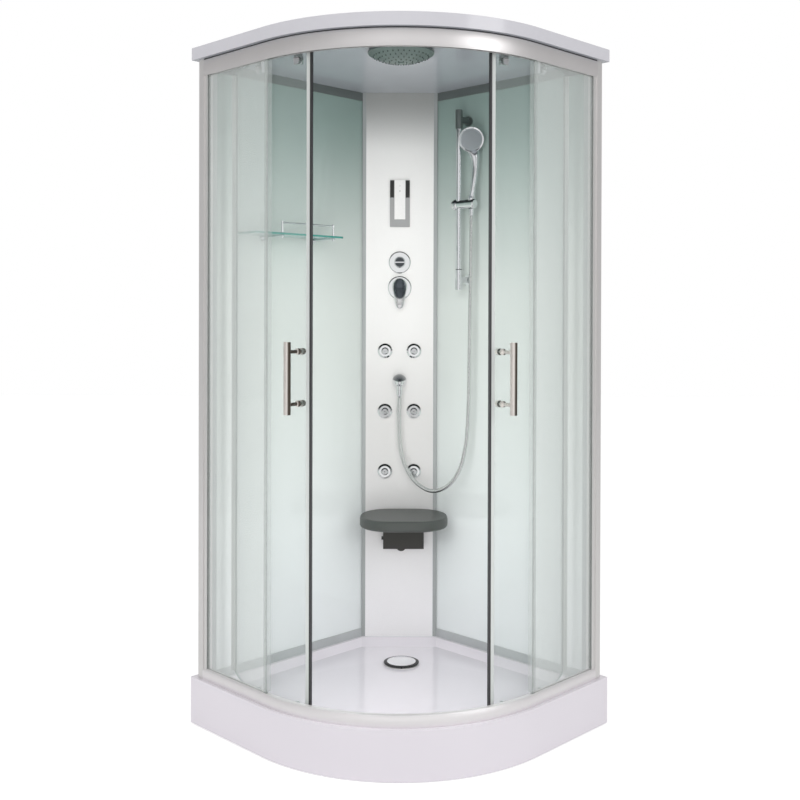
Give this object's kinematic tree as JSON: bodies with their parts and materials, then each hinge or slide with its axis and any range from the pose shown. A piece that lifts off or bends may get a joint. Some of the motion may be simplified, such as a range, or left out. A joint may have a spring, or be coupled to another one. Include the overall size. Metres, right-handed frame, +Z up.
{
  "type": "shower cabin",
  "caption": "Quadrant shower cabin with bent sliding glass doors, white tray and roof, silver column with mixer, body jets, hand shower, head shower and fold-up seat.",
  "frame": {"origin": "centre of the footprint's bounding box on the floor", "axes": "+Z up, -Y out through the doorway, +X to the right of a person who faces the back column from outside"},
  "size_m": [1.2728, 1.0448, 2.057],
  "materials": {
    "acrylic": "glossy white sheet",
    "frame_steel": "zinc grey",
    "black_rubber": "matt",
    "waste_plastic": "plain",
    "chrome": "polished",
    "chromed_plastic": "chrome plated plastic",
    "satin_aluminium": "satin",
    "painted_glass": "pale green-white, painted behind",
    "clear_glass": "clear, faint green",
    "silver_panel": "silver paint with a soft sheen",
    "trim_plastic": "silver grey",
    "brass": "raw",
    "brushed": "brushed",
    "grey_plastic": "satin dark grey",
    "hose_sleeve": "silver ribbed",
    "wheel_plastic": "plain",
    "silver_lever": "silver"
  },
  "bodies": {
    "cabin": {"tray": "acrylic", "tray_frame": "frame_steel", "levelling_feet": "frame_steel", "drain_body": "waste_plastic", "wall_frames": "satin_aluminium", "wall_glass": "painted_glass", "column_panel": "silver_panel", "column_trims": "trim_plastic", "roof": "acrylic", "rose": "chromed_plastic", "rose_feed": "brass", "top_rail": "satin_aluminium", "bottom_rail": "satin_aluminium", "posts": "satin_aluminium", "fixed_glass": "clear_glass", "glass_seals": "black_rubber", "door_stops": "black_rubber", "valve_body": "brass", "water_pipes": "brass", "valve_plates": "chrome", "jet_rings": "chromed_plastic", "hose_elbow": "chrome", "shower_hose": "hose_sleeve", "soap_tank": "chromed_plastic", "seat_bracket": "grey_plastic", "seat_pin": "brushed", "shelf_glass": "clear_glass", "shelf_rail": "chrome", "riser_rail": "chrome"},
    "left_door": {"left_door_glass": "clear_glass", "left_door_seals": "black_rubber", "left_handle": "brushed", "left_carriages": "chrome"},
    "right_door": {"right_door_glass": "clear_glass", "right_door_seals": "black_rubber", "right_handle": "brushed", "right_carriages": "chrome"},
    "left_upper_lead_wheel": {"left_upper_lead_wheel": "wheel_plastic"},
    "left_upper_trail_wheel": {"left_upper_trail_wheel": "wheel_plastic"},
    "left_lower_lead_wheel": {"left_lower_lead_wheel": "wheel_plastic"},
    "left_lower_trail_wheel": {"left_lower_trail_wheel": "wheel_plastic"},
    "right_upper_lead_wheel": {"right_upper_lead_wheel": "wheel_plastic"},
    "right_upper_trail_wheel": {"right_upper_trail_wheel": "wheel_plastic"},
    "right_lower_lead_wheel": {"right_lower_lead_wheel": "wheel_plastic"},
    "right_lower_trail_wheel": {"right_lower_trail_wheel": "wheel_plastic"},
    "mixer_stem": {"mixer_stem": "chrome"},
    "mixer_lever": {"mixer_lever": "chrome"},
    "diverter_knob": {"diverter_knob": "chrome"},
    "slider": {"slider": "chromed_plastic"},
    "cradle": {"cradle": "chromed_plastic"},
    "handset": {"handset": "chromed_plastic"},
    "seat": {"seat": "grey_plastic"},
    "soap_lever": {"soap_lever": "silver_lever"},
    "drain_cap": {"drain_cap": "chromed_plastic"},
    "jet_1": {"jet_nozzle_1": "chromed_plastic"},
    "jet_2": {"jet_nozzle_2": "chromed_plastic"},
    "jet_3": {"jet_nozzle_3": "chromed_plastic"},
    "jet_4": {"jet_nozzle_4": "chromed_plastic"},
    "jet_5": {"jet_nozzle_5": "chromed_plastic"},
    "jet_6": {"jet_nozzle_6": "chromed_plastic"}
  },
  "joints": [
    {"name": "left_door_roll", "type": "hinge", "parent": "cabin", "child": "left_door", "pos_m": [0.01434, 0.06598, 1.07], "axis": [0, 0, 1], "range_deg": [-2, 26.96]},
    {"name": "right_door_roll", "type": "hinge", "parent": "cabin", "child": "right_door", "pos_m": [-0.01434, 0.06598, 1.07], "axis": [0, 0, 1], "range_deg": [-26.96, 2]},
    {"name": "left_upper_lead_wheel_spin", "type": "hinge", "parent": "left_door", "child": "left_upper_lead_wheel", "pos_m": [-0.29424, -0.39271, 1.9992], "axis": [-0.5426, -0.84, 0], "range_deg": [-1500, 120]},
    {"name": "left_upper_trail_wheel_spin", "type": "hinge", "parent": "left_door", "child": "left_upper_trail_wheel", "pos_m": [-0.41937, -0.27861, 1.9992], "axis": [-0.7865, -0.6176, 0], "range_deg": [-1500, 120]},
    {"name": "left_lower_lead_wheel_spin", "type": "hinge", "parent": "left_door", "child": "left_lower_lead_wheel", "pos_m": [-0.29424, -0.39271, 0.1602], "axis": [-0.5426, -0.84, 0], "range_deg": [-1500, 120]},
    {"name": "left_lower_trail_wheel_spin", "type": "hinge", "parent": "left_door", "child": "left_lower_trail_wheel", "pos_m": [-0.41937, -0.27861, 0.1602], "axis": [-0.7865, -0.6176, 0], "range_deg": [-1500, 120]},
    {"name": "right_upper_lead_wheel_spin", "type": "hinge", "parent": "right_door", "child": "right_upper_lead_wheel", "pos_m": [0.29424, -0.39271, 1.9992], "axis": [0.5426, -0.84, 0], "range_deg": [-120, 1500]},
    {"name": "right_upper_trail_wheel_spin", "type": "hinge", "parent": "right_door", "child": "right_upper_trail_wheel", "pos_m": [0.41937, -0.27861, 1.9992], "axis": [0.7865, -0.6176, 0], "range_deg": [-120, 1500]},
    {"name": "right_lower_lead_wheel_spin", "type": "hinge", "parent": "right_door", "child": "right_lower_lead_wheel", "pos_m": [0.29424, -0.39271, 0.1602], "axis": [0.5426, -0.84, 0], "range_deg": [-120, 1500]},
    {"name": "right_lower_trail_wheel_spin", "type": "hinge", "parent": "right_door", "child": "right_lower_trail_wheel", "pos_m": [0.41937, -0.27861, 0.1602], "axis": [0.7865, -0.6176, 0], "range_deg": [-120, 1500]},
    {"name": "mixer_turn", "type": "hinge", "parent": "cabin", "child": "mixer_stem", "pos_m": [0, 0.33009, 1.339], "axis": [0, -1, 0], "range_deg": [-50, 50]},
    {"name": "mixer_lift", "type": "hinge", "parent": "mixer_stem", "child": "mixer_lever", "pos_m": [0, 0.33009, 1.345], "axis": [-1, 0, 0], "range_deg": [0, 22]},
    {"name": "diverter_turn", "type": "hinge", "parent": "cabin", "child": "diverter_knob", "pos_m": [0, 0.33809, 1.428], "axis": [0, -1, 0], "range_deg": [-60, 60]},
    {"name": "jet_1_swivel", "type": "hinge", "parent": "cabin", "child": "jet_1", "pos_m": [-0.0505, 0.35049, 0.698], "axis": [1, 0, 0], "range_deg": [-15, 15]},
    {"name": "jet_2_swivel", "type": "hinge", "parent": "cabin", "child": "jet_2", "pos_m": [0.0505, 0.35049, 0.698], "axis": [1, 0, 0], "range_deg": [-15, 15]},
    {"name": "jet_3_swivel", "type": "hinge", "parent": "cabin", "child": "jet_3", "pos_m": [-0.0505, 0.35049, 0.9085], "axis": [1, 0, 0], "range_deg": [-15, 15]},
    {"name": "jet_4_swivel", "type": "hinge", "parent": "cabin", "child": "jet_4", "pos_m": [0.0505, 0.35049, 0.9085], "axis": [1, 0, 0], "range_deg": [-15, 15]},
    {"name": "jet_5_swivel", "type": "hinge", "parent": "cabin", "child": "jet_5", "pos_m": [-0.0505, 0.35049, 1.119], "axis": [1, 0, 0], "range_deg": [-15, 15]},
    {"name": "jet_6_swivel", "type": "hinge", "parent": "cabin", "child": "jet_6", "pos_m": [0.0505, 0.35049, 1.119], "axis": [1, 0, 0], "range_deg": [-15, 15]},
    {"name": "slider_travel", "type": "slide", "parent": "cabin", "child": "slider", "axis": [0, 0, 1], "range_m": [-0.193, 0.105], "deforming": ["shower_hose"]},
    {"name": "cradle_tilt", "type": "hinge", "parent": "slider", "child": "cradle", "pos_m": [0.23759, 0.17883, 1.616], "axis": [0.7071, -0.7071, 0], "range_deg": [-3, 25]},
    {"name": "handset_lift", "type": "slide", "parent": "cradle", "child": "handset", "axis": [0, 0, 1], "range_m": [0, 0.034]},
    {"name": "seat_fold", "type": "hinge", "parent": "cabin", "child": "seat", "pos_m": [0.015, 0.31849, 0.555], "axis": [-1, 0, 0], "range_deg": [0, 82]},
    {"name": "soap_push", "type": "slide", "parent": "cabin", "child": "soap_lever", "axis": [0, 1, 0], "range_m": [0, 0.003], "stiffness_N_per_m": 900, "springref_m": -0.002},
    {"name": "drain_cap_lift", "type": "slide", "parent": "cabin", "child": "drain_cap", "axis": [0, 0, 1], "range_m": [0, 0.08]}
  ],
  "couplings": [
    {"joint": "left_upper_lead_wheel_spin", "follows": "left_door_roll", "ratio": -55.283},
    {"joint": "left_upper_trail_wheel_spin", "follows": "left_door_roll", "ratio": -55.394},
    {"joint": "left_lower_lead_wheel_spin", "follows": "left_door_roll", "ratio": -55.283},
    {"joint": "left_lower_trail_wheel_spin", "follows": "left_door_roll", "ratio": -55.394},
    {"joint": "right_upper_lead_wheel_spin", "follows": "right_door_roll", "ratio": -55.283},
    {"joint": "right_upper_trail_wheel_spin", "follows": "right_door_roll", "ratio": -55.394},
    {"joint": "right_lower_lead_wheel_spin", "follows": "right_door_roll", "ratio": -55.283},
    {"joint": "right_lower_trail_wheel_spin", "follows": "right_door_roll", "ratio": -55.394}
  ]
}
